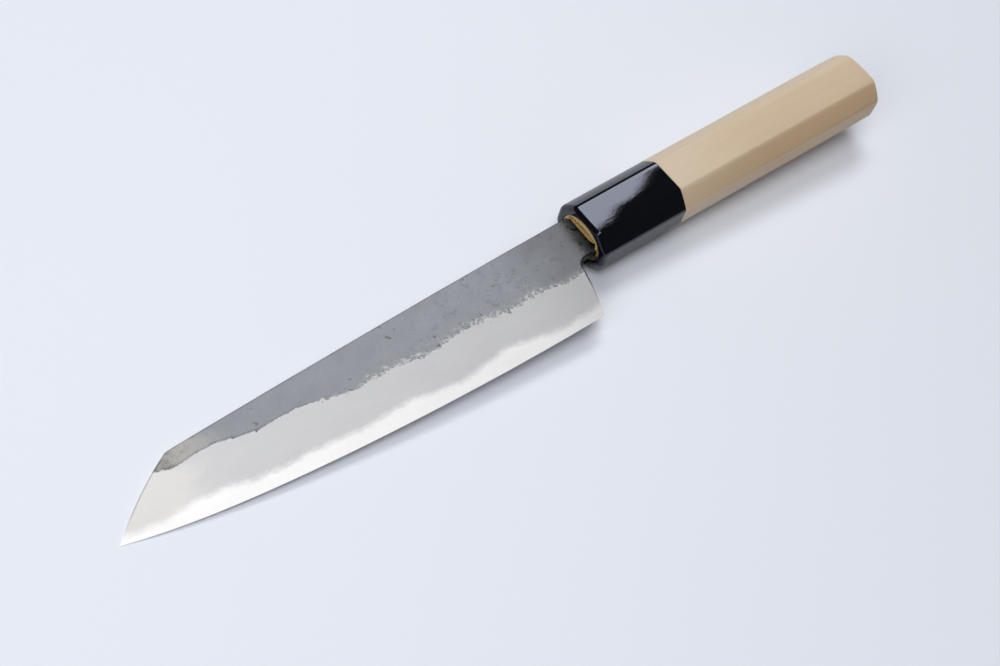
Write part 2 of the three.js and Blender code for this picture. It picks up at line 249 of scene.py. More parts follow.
def bow(start, end, crown, steps=24):
    """Points from start to end on a curve that bows out to the left of its run."""
    start, end = np.array(start), np.array(end)
    run = (end - start) / np.linalg.norm(end - start)
    left = np.array((-run[1], run[0]))
    t = np.linspace(0, 1, steps + 1)[:, None]
    return lerp(start, end, t) + left * crown * 4 * t * (1 - t)


def eased_corner(start, corner, end, steps=6):
    """Points on a curve that rounds a corner between start and end."""
    t = np.linspace(0, 1, steps + 1)[:, None]
    start, corner, end = np.array(start), np.array(corner), np.array(end)
    return (1 - t) ** 2 * start + 2 * t * (1 - t) * corner + t ** 2 * end


def spaced(points, step):
    """A line drawn again with points about one step apart, its ends kept."""
    runs = np.linalg.norm(np.diff(points, axis=0), axis=1)
    gone = np.concatenate([[0], np.cumsum(runs)])
    places = np.linspace(0, gone[-1], max(2, math.ceil(gone[-1] / step) + 1))
    return np.column_stack([np.interp(places, gone, points[:, k]) for k in range(points.shape[1])])


def ripple(x, y, size, seed, octaves=1):
    """Smooth noise over a face, about -1 to 1, whose lumps are as wide as size."""
    return np.array([noise.fractal((a, b, seed), 1.0, 2.0, octaves) for a, b in zip(x / size, y / size)])


def pocked(x, y, size, reach, seed):
    """0 between scattered round spots and 1 in their middles, for spots about size apart."""
    near = np.array([noise.voronoi((a, b, seed))[0][0] for a, b in zip(x / size, y / size)])
    return np.clip(1 - near / reach, 0, 1)


# Meshes

def inside(points, loop):
    """Which points lie inside a closed loop."""
    x, y = points.T
    within = np.zeros(len(points), bool)
    for (ax, ay), (bx, by) in zip(loop, np.roll(loop, -1, axis=0)):
        if ay != by:
            within ^= ((ay > y) != (by > y)) & (x < ax + (bx - ax) * (y - ay) / (by - ay))
    return within


def clearance(points, loop):
    """Each point's distance from a closed loop."""
    least = np.full(len(points), np.inf)
    for a, b in zip(loop, np.roll(loop, -1, axis=0)):
        run = b - a
        t = np.clip((points - a) @ run / (run @ run), 0, 1)
        least = np.minimum(least, np.hypot(*(points - a - t[:, None] * run).T))
    return least


def triangulate(loop, inner):
    """Triangles that fill a loop through some inner points, whose numbers follow the loop's own."""
    points = np.vstack([loop, inner]) / MM
    count = len(loop)
    edges = [(i, (i + 1) % count) for i in range(count)]
    found = delaunay_2d_cdt([Vector(p) for p in points], edges, [], 1, 1e-6)
    triangles, origins = found[2], found[3]
    if len(found[0]) != len(points):
        raise RuntimeError("the outline crosses itself")
    return [tuple(origins[i][0] for i in face) for face in triangles]


def grid(loop, step, keep):
    """Points in even rows inside a loop, clear of its rim, where keep(x, y) says so."""
    low, high = loop.min(0), loop.max(0)
    rise = step * math.sqrt(3) / 2
    rows = np.arange(low[1], high[1], rise)
    columns = np.arange(low[0], high[0], step)
    x = np.concatenate([columns + step / 2 * (k % 2) for k in range(len(rows))])
    points = np.column_stack([x, np.repeat(rows, len(columns))])
    points = points[keep(*points.T)]
    points = points[inside(points, loop)]
    return points[clearance(points, loop) > 0.8 * step]


def ring_inside(loop, width, keep):
    """Points inside a loop that follow it, each at its own width, for the loop's points that keep names."""
    run = np.roll(loop, -1, axis=0) - np.roll(loop, 1, axis=0)
    inward = np.column_stack([-run[:, 1], run[:, 0]]) / np.linalg.norm(run, axis=1)[:, None]
    points = loop + inward * width[:, None]
    return points[keep & inside(points, loop) & (clearance(points, loop) > 0.8 * width)]


def slab(loop, inner, upper, lower, whole_lower):
    """Points and faces of a closed slab over a loop, from heights at its points. The lower face is filled
    through the inner points only where whole_lower asks for it."""
    count = len(loop)
    top = triangulate(loop, inner)
    bottom = top if whole_lower else triangulate(loop, np.empty((0, 2)))
    flat = np.vstack([loop, inner])
    under = flat if whole_lower else loop
    points = np.vstack([np.column_stack([flat, upper]), np.column_stack([under, lower])])
    base = len(flat)
    faces = list(top)
    faces += [tuple(base + i for i in reversed(face)) for face in bottom]
    faces += [(base + i, base + (i + 1) % count, (i + 1) % count, i) for i in range(count)]
    return points, faces


def skin(rings, closed=False):
    """Points and faces of a surface over a run of rings, closed on itself or by a face at either end."""
    count = len(rings[0])
    faces = []
    for k in range(len(rings) if closed else len(rings) - 1):
        a, b = k * count, (k + 1) % len(rings) * count
        faces += [(a + i, a + (i + 1) % count, b + (i + 1) % count, b + i) for i in range(count)]
    if not closed:
        last = (len(rings) - 1) * count
        faces.append(tuple(reversed(range(count))))
        faces.append(tuple(range(last, last + count)))
    return np.vstack(rings), faces


def table_place(handle):
    """The straight knife's place on the table, from the frame's mount in the middle of the butt."""
    butt = next(m for m in frame["record"]["mounts"] if m["name"] == "butt_face")
    along = Vector(butt["axis"]).normalized()
    across = Vector((0, 1, 0))
    place = Matrix((along, across, along.cross(across))).transposed().to_4x4()
    place.translation = Vector(butt["pos_m"]) - handle.length * along
    return place


def make_piece(context, name, points, faces, values, material, node, sharp=SHARP_TURN):
    """A mesh of the straight knife, laid on the table, fixed to the knife's body and shown for a frame's
    node. It is smooth but for edges that turn more than the angle sharp. Each point keeps its place on the
    straight knife in millimetres, for the finishes to follow."""
    place = np.array(table_place(context.scene.knife_handle))
    mesh = bpy.data.meshes.new(name)
    mesh.from_pydata(points @ place[:3, :3].T + place[:3, 3], [], faces)
    mesh.attributes.new("at", "FLOAT_VECTOR", "POINT").data.foreach_set("vector", (points / MM).ravel())
    for key, value in values.items():
        mesh.attributes.new(key, "FLOAT", "POINT").data.foreach_set("value", value)
    mesh.materials.append(material)
    mesh.shade_smooth()
    mesh.set_sharp_from_angle(angle=sharp)
    piece = bpy.data.objects.new(name, mesh)
    context.scene.collection.objects.link(piece)
    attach(piece, "root")
    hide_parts(node)


# Blade

class BladeShape:
    """The blade's lines and heights over its right face (side 1) and its left face (side -1)."""

    # Waves of the scale's lower edge and of the weld line: length and swing in millimetres, and phase
    SCALE_WAVES = ((64, 0.52, -0.2), (26, 0.51, 1.1))
    WELD_WAVES = ((45, 0.5, 0.9), (31, 0.6, -2.19), (11, 0.16, 0.4), (6.3, 0.1, 2.0))
    LEFT_SHIFT = 23 * MM  # how far the left face's waves run ahead of the right's
    SCALE_SHIFT = 1.0 * MM  # how far the scale's edge lies above the bevel's drawn top

    # Width of the lumps on the forged flats, the pits' spacing, and the rough band along the scale's edge
    HAMMER_LUMP = 11 * MM
    SCALE_LUMP = 1.9 * MM
    PIT_LUMP = 1.3 * MM
    PIT_WANDER = 0.9 * MM
    PIT_SPACING = 3.1 * MM
    PIT_CROWD = 13 * MM
    ROUGH_BAND = 4 * MM
    CALM_TO, ROUGH_FROM = -112 * MM, -76 * MM  # the scale is smooth in front and rough behind
    SKIN_TO, PLAIN_FROM = -5 * MM, -1 * MM  # the forged skin fades out between them at the ferrule

    NOTCH_REACH = 13 * MM  # room in front of the ferrule that holds the neck and the choil
    NOTCH_SLACK = 0.2 * MM  # points this little above the neck's lower edge still count
    NOTCH_END, NOTCH_FADE = -18 * MM, -13 * MM  # heights between which the heel's back edge leaves it
    TANG_STEP = 6 * MM  # distance between points on the hidden tang
    LEAST_STEP = 0.01 * MM  # nearer points are taken as one
    LINE_SAMPLES = 4000  # points at which the weld line is looked up

    def __init__(self, sizes):
        self.s = sizes
        self.tip_x = -sizes.reach
        self.heel_x = -sizes.heel_setback
        self.corner_x = self.tip_x + sizes.clip_length
        self.top = self.draw_top()

    def draw_top(self):
        """Clip, spine and upper side of the tang, from the tip."""
        s = self.s
        tip = np.array((self.tip_x, -s.tip_drop))
        corner = np.array((self.corner_x, s.spine_end_rise))
        shoulder = np.array((0, s.spine_rise))
        clip_run = (corner - tip) / np.linalg.norm(corner - tip)
        spine_run = (shoulder - corner) / np.linalg.norm(shoulder - corner)
        clip_end = corner - clip_run * s.clip_corner
        spine_start = corner + spine_run * s.clip_corner
        tang_end = (s.tang_length, s.tang_end_height / 2)
        return np.vstack([
            bow(tip, clip_end, s.clip_crown),
            eased_corner(clip_end, corner, spine_start)[1:],
            bow(spine_start, shoulder, s.spine_crown)[1:],
            [tang_end],
        ])

    def top_at(self, x):
        """Height of the clip, spine or upper side of the tang."""
        return np.interp(x, *self.top.T)

    def along(self, x):
        """0 at the heel and 1 at the tip."""
        return np.clip((self.heel_x - x) / (self.heel_x - self.tip_x), 0, 1)

    def edge_at(self, x):
        """Height of the cutting edge."""
        t = self.along(x)
        rise = self.s.heel_drop - self.s.tip_drop
        return -self.s.heel_drop + rise * ((1 - self.s.tip_sweep) * t ** 2 + self.s.tip_sweep * t ** 8)

    def half_at(self, x):
        """Half the thickness between the flats, over blade and tang."""
        s = self.s
        blade = lerp(s.neck_thickness, s.tip_thickness, -x / s.reach)
        tang = lerp(s.neck_thickness, s.tang_end_thickness, x / s.tang_length)
        return np.where(x < 0, blade, tang) / 2

    def slope_at(self, x):
        """How steeply the bevel rises."""
        width = lerp(self.s.bevel_at_heel, self.s.bevel_at_tip, self.along(x))
        return (self.half_at(x) - self.s.edge_thickness / 2) / width

    def ground(self, x, y):
        """Height of the ground bevel, which would run on past its top."""
        return self.s.edge_thickness / 2 + self.slope_at(x) * (y - self.edge_at(x))

    def waves(self, x, side, waves):
        """A sum of waves along the blade, set apart on the two faces."""
        place = x + (self.LEFT_SHIFT if side == LEFT else 0)
        return sum(swing * MM * np.sin(place / MM * 2 * math.pi / size + phase)
                   for size, swing, phase in waves)

    def weld_line(self, x, side):
        """Height of the line where the bright core comes out from under the cladding."""
        rise = self.s.band_height - self.s.band_at_tip * self.along(x) ** 12
        return self.edge_at(x) + rise + self.waves(x, side, self.WELD_WAVES)

    def core_half(self, x, side):
        """Half the core's thickness, which makes it come out at the weld line."""
        inside_handle = np.minimum(x, self.heel_x)
        return self.ground(inside_handle, self.weld_line(inside_handle, side))

    def exposed(self, x):
        """1 on the blade, fading to 0 on the plain tang in the ferrule."""
        return 1 - smooth(self.SKIN_TO, self.PLAIN_FROM, x)

    def forged(self, x, y, side):
        """Height of the forged flat, with its swell, scale and pits, and how deep in a pit each point is."""
        s = self.s
        seed = 3.7 * side
        line = self.edge_at(x) + lerp(s.bevel_at_heel, s.bevel_at_tip, self.along(x))
        by_line = np.exp(-((y - line) / self.ROUGH_BAND) ** 2)
        lift = self.slope_at(x) * (self.SCALE_SHIFT + self.waves(x, side, self.SCALE_WAVES))
        swell = s.hammer_depth * ripple(x, y, self.HAMMER_LUMP, seed + 5)
        calm = 0.25 + 0.75 * smooth(self.CALM_TO, self.ROUGH_FROM, x)
        rough = s.scale_depth * ripple(x, y, self.SCALE_LUMP, seed, 3) * (0.35 + 0.65 * by_line) * calm
        wander = self.PIT_WANDER * ripple(x, y, self.PIT_LUMP, seed + 2, 2)
        crowded = smooth(-0.2, 0.5, ripple(x, y, self.PIT_CROWD, seed + 7))
        reach = 0.11 + 0.13 * crowded + 0.1 * by_line
        pits = pocked(x + wander, y - wander, self.PIT_SPACING, reach, seed + 9)
        return self.half_at(x) + (lift + swell + rough - s.pit_depth * pits) * self.exposed(x), pits

    def heel_back(self, lowest):
        """The heel's back edge from a height up to the choil."""
        s = self.s
        heel = (self.heel_x, -s.heel_drop)
        line = bow(heel, (-s.choil_gap, -s.neck_drop - s.choil_radius), -s.heel_bow)
        above = line[line[:, 1] > lowest]
        start = (np.interp(lowest, line[:, 1], line[:, 0]), lowest)
        return np.vstack([[start], above])

    def notch(self, x, y):
        """1 at outline points under the neck and round the choil, fading to 0 down the heel's back edge."""
        near = (x > -self.NOTCH_REACH) & (x < 0) & (y < self.NOTCH_SLACK - self.s.neck_drop)
        return near * smooth(self.NOTCH_END, self.NOTCH_FADE, y)

    def outline(self, lower, step):
        """Round the blade and tang, starting along a lower line from its front, which lies on the clip."""
        s = self.s
        turn = np.linspace(math.pi, math.pi / 2, 13)
        centre = np.array((s.choil_radius - s.choil_gap, -s.neck_drop - s.choil_radius))
        choil = centre + s.choil_radius * np.column_stack([np.cos(turn), np.sin(turn)])
        neck = np.array(((choil[-1, 0], -s.neck_drop), (0, -s.neck_drop)))
        tang = np.array(((0, -s.neck_drop), (s.tang_length, -s.tang_end_height / 2)))
        front = lower[0]
        upper = self.top[self.top[:, 0] > front[0]][::-1]
        runs = [
            spaced(lower, step),
            spaced(self.heel_back(lower[-1, 1]), step),
            choil,
            spaced(neck, step),
            spaced(tang, self.TANG_STEP),
            spaced(upper[:2], self.TANG_STEP),
            spaced(np.vstack([upper[1:], [front]]), step),
        ]
        loop = np.vstack(runs)
        keep = np.linalg.norm(loop - np.roll(loop, 1, axis=0), axis=1) > self.LEAST_STEP
        return loop[keep]

    def edge_line(self, step):
        """The cutting edge from tip to heel."""
        x = np.linspace(self.tip_x, self.heel_x, math.ceil((self.heel_x - self.tip_x) / step))
        return np.column_stack([x, self.edge_at(x)])

    def weld_run(self, side, step):
        """The weld line from the clip to the heel's back edge."""
        x = np.linspace(self.tip_x, -self.s.choil_gap, self.LINE_SAMPLES)
        y = self.weld_line(x, side)
        start = np.argmax(self.top_at(x) > y)
        back = self.heel_back(-self.s.heel_drop)
        end = np.argmax(x > np.interp(y, back[:, 1], back[:, 0]))
        line = np.column_stack([x, y])[start:end]
        line[0, 1] = self.top_at(line[0, 0])
        return spaced(line, step)


def make_core(context, shape):
    """The hard steel layer, bare along the edge and creased where it goes in between the claddings."""
    step = 2 * shape.s.mesh_step
    loop = shape.outline(shape.edge_line(step), step)
    fine_above_edge = 9 * MM
    fine_behind_heel = 4 * MM

    def clear(x, y):
        by_edge = (x < shape.heel_x + fine_behind_heel) & (y < shape.edge_at(x) + fine_above_edge)
        off_welds = [np.abs(y - shape.weld_line(x, side)) > step / 2 for side in SIDES]
        return by_edge & np.all(off_welds, axis=0)

    creases = np.vstack([shape.weld_run(side, step / 2)[1:-1] for side in SIDES])
    creases = creases[inside(creases, loop) & (clearance(creases, loop) > step / 4)]
    inner = np.vstack([grid(loop, step, clear), creases])
    x, y = np.vstack([loop, inner]).T
    ground = np.maximum(shape.ground(x, y), shape.s.edge_thickness / 2)
    right, left = [np.minimum(ground, shape.core_half(x, side) - shape.s.weld_gap / 2) for side in SIDES]
    points, faces = slab(loop, inner, right, -left, True)
    below_weld = [shape.weld_line(x, side) - y for side in SIDES]
    values = {"below_weld": np.concatenate(below_weld) / MM}
    material = core_steel(context.scene.knife_finishes)
    make_piece(context, "hard_core", points, faces, values, material, "blade_core", CREASE_TURN)


def make_cladding(context, shape, side, material, name, node):
    """One soft iron layer: forged flat above, ground bevel below, run out to nothing at the weld line."""
    s = shape.s
    step = s.mesh_step
    fine_behind_ferrule = 2 * MM
    feather = 0.004 * MM  # least thickness, along the weld line
    ease_depth = 0.65  # depth eased off the rim, against its width
    weld = shape.weld_run(side, step)
    loop = shape.outline(weld, step)
    on_rim = np.ones(len(loop), bool)
    on_rim[:len(weld)] = False
    on_rim &= loop[:, 0] < 0
    notch = shape.notch(*loop.T)
    rim = lerp(s.rim, s.choil_rim, notch)
    ring = ring_inside(loop, rim, on_rim)
    inner = np.vstack([ring, grid(loop, step, lambda x, y: x < fine_behind_ferrule)])
    x, y = np.vstack([loop, inner]).T
    forged, pits = shape.forged(x, y, side)
    ground = shape.ground(x, y)
    upper = np.minimum(forged, ground)
    lower = shape.core_half(x, side) + s.weld_gap / 2
    thickness = np.maximum(upper - lower, feather)
    eased = np.zeros(len(x))
    eased[:len(loop)][on_rim] = ease_depth * rim[on_rim]
    upper = lower + thickness - np.minimum(eased, thickness / 2)
    points, faces = slab(loop, inner, upper, lower[:len(loop)], False)
    if side == LEFT:
        points[:, 2] *= -1
        faces = [tuple(reversed(face)) for face in faces]
    count = len(loop)
    bare = (forged - ground) / MM
    above_weld = (y - shape.weld_line(x, side)) / MM
    values = {
        "bare": np.concatenate([bare, bare[:count]]),
        "pits": np.concatenate([pits, pits[:count]]),
        "above_weld": np.concatenate([above_weld, above_weld[:count]]),
        # Marks the rim walls round the neck and choil, which the finish darkens: partly dark patina, partly
        # painted shade
        "wall": np.concatenate([notch, np.zeros(len(inner)), np.ones(count)]),
    }
    make_piece(context, name, points, faces, values, material, node)


# Handle

CORNER_STEPS = 6
SIDE_STOPS = (0.04, 0.27, 0.5, 0.73, 0.96)


def octagon(handle, x, inset=0.0, worn=0.0):
    """One octagonal ring of the handle at x with softened corners and swelled chamfers, turning from +Y to
    +Z. It is drawn in by inset on every side, and its corners go over to the butt's softness by the share
    worn."""
    along = x / handle.length
    y = lerp(handle.front_height, handle.butt_height, along) / 2 - inset
    z = lerp(handle.front_thickness, handle.butt_thickness, along) / 2 - inset
    leg = handle.chamfer - inset * (2 - math.sqrt(2))
    quarter = [(y, z - leg), (y - leg, z)]
    corners = quarter + [(-a, b) for a, b in reversed(quarter)]
    corners += [(-a, -b) for a, b in quarter] + [(a, -b) for a, b in reversed(quarter)]
    corners = np.array(corners)
    softness = (handle.narrow_wear, handle.broad_wear, handle.broad_softness, handle.narrow_softness)
    cuts = [r * (1 + handle.butt_softness * worn) * math.tan(math.pi / 8) for r in softness + softness[::-1]]
    ring = []
    for k, corner in enumerate(corners):
        before, after = corners[k - 1], corners[(k + 1) % 8]
        side = (after - corner) / np.linalg.norm(after - corner)
        back = (before - corner) / np.linalg.norm(before - corner)
        out = np.array((side[1], -side[0]))
        crown = handle.chamfer_crown if k % 2 == 0 else 0
        start, end = corner + cuts[k] * back, corner + cuts[k] * side
        stop = after - cuts[(k + 1) % 8] * side
        ring.extend(eased_corner(start, corner, end, CORNER_STEPS))
        ring.extend(lerp(end, stop, t) + out * crown * 4 * t * (1 - t) for t in SIDE_STOPS)
    return np.column_stack([np.full(len(ring), x), ring])


def rounded_end(handle, x, radius, inward, worn=0.0, arris=0.0, steps=8):
    """Octagonal rings that round over an end face at x, from the face outwards, with a sharp turn by the
    angle arris on either side. Inward is +1 where the piece lies at greater x."""
    flat = math.cos(arris)
    bend = radius / (flat - math.sin(arris))
    return [octagon(handle, x + inward * bend * (flat - math.cos(t)), bend * (flat - math.sin(t)), worn)
            for t in np.linspace(arris, math.pi / 2 - arris, steps)]


def oval(handle, ring, x, gap=0.0):
    """The tenon's oval at x, or the bore's with a gap, in line with a ring's points."""
    half_y = handle.tenon_height / 2 + gap
    half_z = handle.tenon_thickness / 2 + gap
    turn = np.arctan2(ring[:, 2] / half_z, (ring[:, 1] + handle.tenon_drop) / half_y)
    y = half_y * np.cos(turn) - handle.tenon_drop
    return np.column_stack([np.full(len(ring), x), y, half_z * np.sin(turn)])


def box_ring(ring, x, boxes, middle=(0.0, 0.0)):
    """The outline at x of overlapping boxes, each two (y, z) corners round one middle, in line with a ring's
    points and with true corners."""
    boxes = np.array(boxes)
    turn = np.arctan2(ring[:, 2], ring[:, 1])
    way = np.column_stack([np.cos(turn), np.sin(turn)])
    reaches = [1 / np.max(way / np.where(way > 0, *(box - middle)[::-1]), axis=1) for box in boxes]
    flat = middle + way * np.max(reaches, axis=0)[:, None]
    for corner in itertools.product(*boxes.reshape(-1, 2).T):
        held = any(np.all((low <= corner) & (corner <= high)) for low, high in boxes)
        buried = any(np.all((low < corner) & (corner < high)) for low, high in boxes)
        if held and not buried:
            flat[np.argmin(np.linalg.norm(flat - corner, axis=1))] = corner
    return np.column_stack([np.full(len(ring), x), flat])


def planed(rings, depth, size, seed):
    """Rings with the slight unevenness of hand planing, along each face's own direction out."""
    uneven = []
    for ring in rings:
        turn = np.arctan2(ring[:, 2], ring[:, 1])
        swell = [noise.noise((ring[0, 0] / size, 2 * math.cos(t) + seed, 2 * math.sin(t))) for t in turn]
        out = np.column_stack([np.zeros(len(ring)), np.cos(turn), np.sin(turn)])
        uneven.append(ring + out * depth * np.array(swell)[:, None])
    return uneven


def make_ferrule(context):
    """The horn block: softened octagon, rounded front, and a bore with an eased lip."""
    h = context.scene.knife_handle
    guide = octagon(h, 0)
    gap = h.glue_gap
    lip = 0.12 * MM
    chamfer = 0.12 * MM
    margin = 0.4 * MM
    crisp_to, worn_from = 4 * MM, 7 * MM
    crisp = rounded_end(h, 0, h.ferrule_rounding, 1, arris=h.ferrule_arris)
    worn = rounded_end(h, 0, h.ferrule_wear, 1)
    round_over = [lerp(a, b, smooth(crisp_to, worn_from, np.abs(a[:, 1:2]))) for a, b in zip(crisp, worn)]
    mouth = oval(h, guide, 0, gap + lip)
    front = [lerp(mouth, round_over[0], t) for t in (0.0, 0.15, 0.5, 0.85)]
    places = np.linspace(h.ferrule_wear + margin, h.ferrule_length - margin, 24)
    sides = planed([octagon(h, x) for x in places], depth=0.009 * MM, size=9 * MM, seed=4.0)
    back = [octagon(h, h.ferrule_length - chamfer), octagon(h, h.ferrule_length, chamfer)]
    bore = [oval(h, guide, x, gap) for x in (h.ferrule_length, 20 * MM, 5 * MM, lip)]
    eased = [oval(h, guide, lip * (1 - math.sin(t)), gap + lip * (1 - math.cos(t))) for t in (0.5, 1.0)]
    points, faces = skin(front + round_over + sides + back + bore + eased, closed=True)
    material = black_horn(context.scene.knife_finishes)
    make_piece(context, "horn_ferrule", points, faces, {}, material, "ferrule", HORN_TURN)


def tang_edges(blade, x):
    """Lower and upper edge of the tang at depth x."""
    t = x / blade.tang_length
    end = blade.tang_end_height / 2
    return lerp(-blade.neck_drop, -end, t), lerp(blade.spine_rise, end, t)


def tang_half(blade, x):
    """Half the tang's thickness at depth x."""
    return lerp(blade.neck_thickness, blade.tang_end_thickness, x / blade.tang_length) / 2


def slip_faces(handle, blade, x):
    """Inner and outer face of the slip at depth x: it stands off the tang in front and closes in on it."""
    along = (x - handle.tenon_recess) / handle.slip_length
    inner = tang_half(blade, x) + lerp(handle.slip_standoff, handle.glue_gap, along)
    return inner, inner + lerp(handle.slip_thickness, handle.slip_end_thickness, along)


def tang_hole(blade, guide, x, gap):
    """A ring of the hole for the tang at depth x."""
    low, high = tang_edges(blade, x)
    half = tang_half(blade, x) + gap
    return box_ring(guide, x, [[(low - gap, -half), (high + gap, half)]])


def slip_hole(handle, blade, guide, x):
    """A ring of the hole for the tang with the room for the slip beside it."""
    low, high = tang_edges(blade, x)
    gap, glue = handle.tang_clearance, handle.glue_gap
    half = tang_half(blade, x) + gap
    inset = handle.slip_setback - glue
    outer = slip_faces(handle, blade, x)[1] + glue
    tang = [(low - gap, -half), (high + gap, half)]
    room = [(low + inset, -half), (high - inset, outer)]
    return box_ring(guide, x, [tang, room])


def sawn_end(handle, slot, rim):
    """Rings over the tenon's end, from the slot to the rim, uneven and torn along the slot, and how dark each
    point is drawn: deep in the torn cracks, and towards the low end under the neck, partly as scorch and
    partly as painted shade."""
    bump_size, tear_size = 0.9 * MM, 1.5 * MM
    eased_rim = 0.4 * MM
    scorch_from, scorch_full = -5 * MM, -8 * MM
    rings, cracks = [], []
    for t in np.linspace(0, 1, 26):
        ring = lerp(slot, rim, t)
        y, z = ring[:, 1], ring[:, 2]
        bumps = ripple(y, z, bump_size, 2.5, 3) * (1 - t ** 4)
        torn = smooth(0.4, 0.06, t + 0.35 * ripple(y, z * 0, tear_size, 5.5, 3))
        # Darker towards the low end under the neck: partly scorch, partly painted shade
        scorched = smooth(scorch_from, scorch_full, y)
        ring[:, 0] += handle.tenon_roughness * (bumps + 4 * torn) + eased_rim * smooth(0.93, 1, t) * t
        rings.append(ring)
        cracks.append(np.maximum(torn, 0.6 * scorched))
    return rings, cracks


def make_handle(context):
    """The wooden octagon with its tenon, the slot for the tang and the hole for the resin."""
    h, b = context.scene.knife_handle, context.scene.knife_blade
    shoulder = h.ferrule_length + h.glue_gap
    chamfer = 0.15 * MM
    front_margin, butt_margin = 0.8 * MM, 1.0 * MM
    softened = 14 * MM
    guide = octagon(h, shoulder)
    room_end = h.tenon_recess + h.slip_length + h.glue_gap
    hole = [
        tang_hole(b, guide, h.pocket_end, h.pocket_wall),
        tang_hole(b, guide, h.pocket_start, h.pocket_wall),
        tang_hole(b, guide, h.pocket_start, h.tang_clearance),
        tang_hole(b, guide, room_end + h.glue_gap, h.tang_clearance),
        slip_hole(h, b, guide, room_end),
    ]
    slot = slip_hole(h, b, guide, h.tenon_recess)
    end, cracks = sawn_end(h, slot, oval(h, guide, h.tenon_recess))
    tenon = [oval(h, guide, x) for x in (h.tenon_recess + 1.2 * MM, 12 * MM, shoulder)]
    front = [octagon(h, shoulder, chamfer), octagon(h, shoulder + chamfer)]
    places = np.linspace(shoulder + front_margin, h.length - h.butt_rounding - butt_margin, 44)
    worn = smooth(h.length - softened, h.length - h.butt_rounding, places)
    sides = planed([octagon(h, x, 0, w) for x, w in zip(places, worn)],
                   depth=0.025 * MM, size=16 * MM, seed=1.0)
    round_over = rounded_end(h, h.length, h.butt_rounding, -1, 1.0)[::-1]
    middling = h.butt_height * h.butt_thickness / 4
    for ring in round_over:
        ring[:, 0] += h.butt_bow * (1 - (ring[:, 1] ** 2 + ring[:, 2] ** 2) / middling)
    face = round_over[-1]
    middle = np.array((h.length, 0, 0))
    cap = []
    for t in (0.97, 0.8, 0.55, 0.3, 0.1):
        ring = lerp(middle, face, t)
        ring[:, 0] += h.butt_crown * (1 - t ** 2)
        cap.append(ring)
    rings = hole + end + tenon + front + sides + round_over + cap
    points, faces = skin(rings)
    # Torn cracks of the tenon's end, and painted shade with some scorch at its low end
    crack = np.zeros(len(points))
    start = len(hole) * len(guide)
    crack[start:start + len(end) * len(guide)] = np.concatenate(cracks)
    values = {"crack": crack}
    material = handle_wood(context.scene.knife_finishes)
    make_piece(context, "octagon_handle", points, faces, values, material, "handle_body")


def make_slip(context):
    """The split wooden slip beside the tang, with a torn front end."""
    h, b = context.scene.knife_handle, context.scene.knife_blade
    guide = octagon(h, 0)
    torn_rings = 6
    tear, tear_size = 0.3 * MM, 0.8 * MM
    split, split_size = 0.22 * MM, 0.9 * MM

    def section(x, inset=0.0):
        low, high = tang_edges(b, x)
        inner, outer = slip_faces(h, b, x)
        squeeze = min(inset, 0.45 * (outer - inner))
        drawn_in = h.slip_setback + inset
        box = np.array([(low + drawn_in, inner + squeeze), (high - drawn_in, outer - squeeze)])
        return box_ring(guide, x, [box], box.mean(0))

    front = [section(h.tenon_recess, inset) for inset in (0.36 * MM, 0.24 * MM, 0.12 * MM, 0.0)]
    rings = front + [section(x) for x in (1.2 * MM, 2.5 * MM, 8 * MM, h.tenon_recess + h.slip_length)]
    for k, ring in enumerate(rings[:torn_rings]):
        y, z = ring[:, 1], ring[:, 2]
        fade = 1 - k / torn_rings
        ring[:, 0] += tear * ripple(y, z, tear_size, 1.3, 2) * fade
        ring[:, 2] -= split * np.abs(ripple(y, z * 0, split_size, 6.1, 2)) * fade * (z > z.mean())
    points, faces = skin(rings)
    material = slip_wood(context.scene.knife_finishes)
    make_piece(context, "tang_slip_wood", points, faces, {}, material, "tang_slip")


# Finishes, in which places are millimetres on the straight knife

class Socket:
    """A node's output that can be used in sums."""

    def __init__(self, shader, link):
        self.shader = shader
        self.link = link

    def maths(self, operation, first, second=0.0):
        return self.shader.node("Math", "Value", {"operation": operation},
                                {"Value": first, "Value_001": second})

    def __add__(self, other):
        return self.maths("ADD", self, other)

    def __sub__(self, other):
        return self.maths("SUBTRACT", self, other)

    def __rsub__(self, other):
        return self.maths("SUBTRACT", other, self)

    def __mul__(self, other):
        return self.maths("MULTIPLY", self, other)

    def __pow__(self, other):
        return self.maths("POWER", self, other)

    def __abs__(self):
        return self.maths("ABSOLUTE", self)

    __radd__ = __add__
    __rmul__ = __mul__


def find(sockets, key):
    """A node's socket by its identifier or, failing that, its name."""
    return next((s for s in sockets if s.identifier == key), None) or sockets[key]


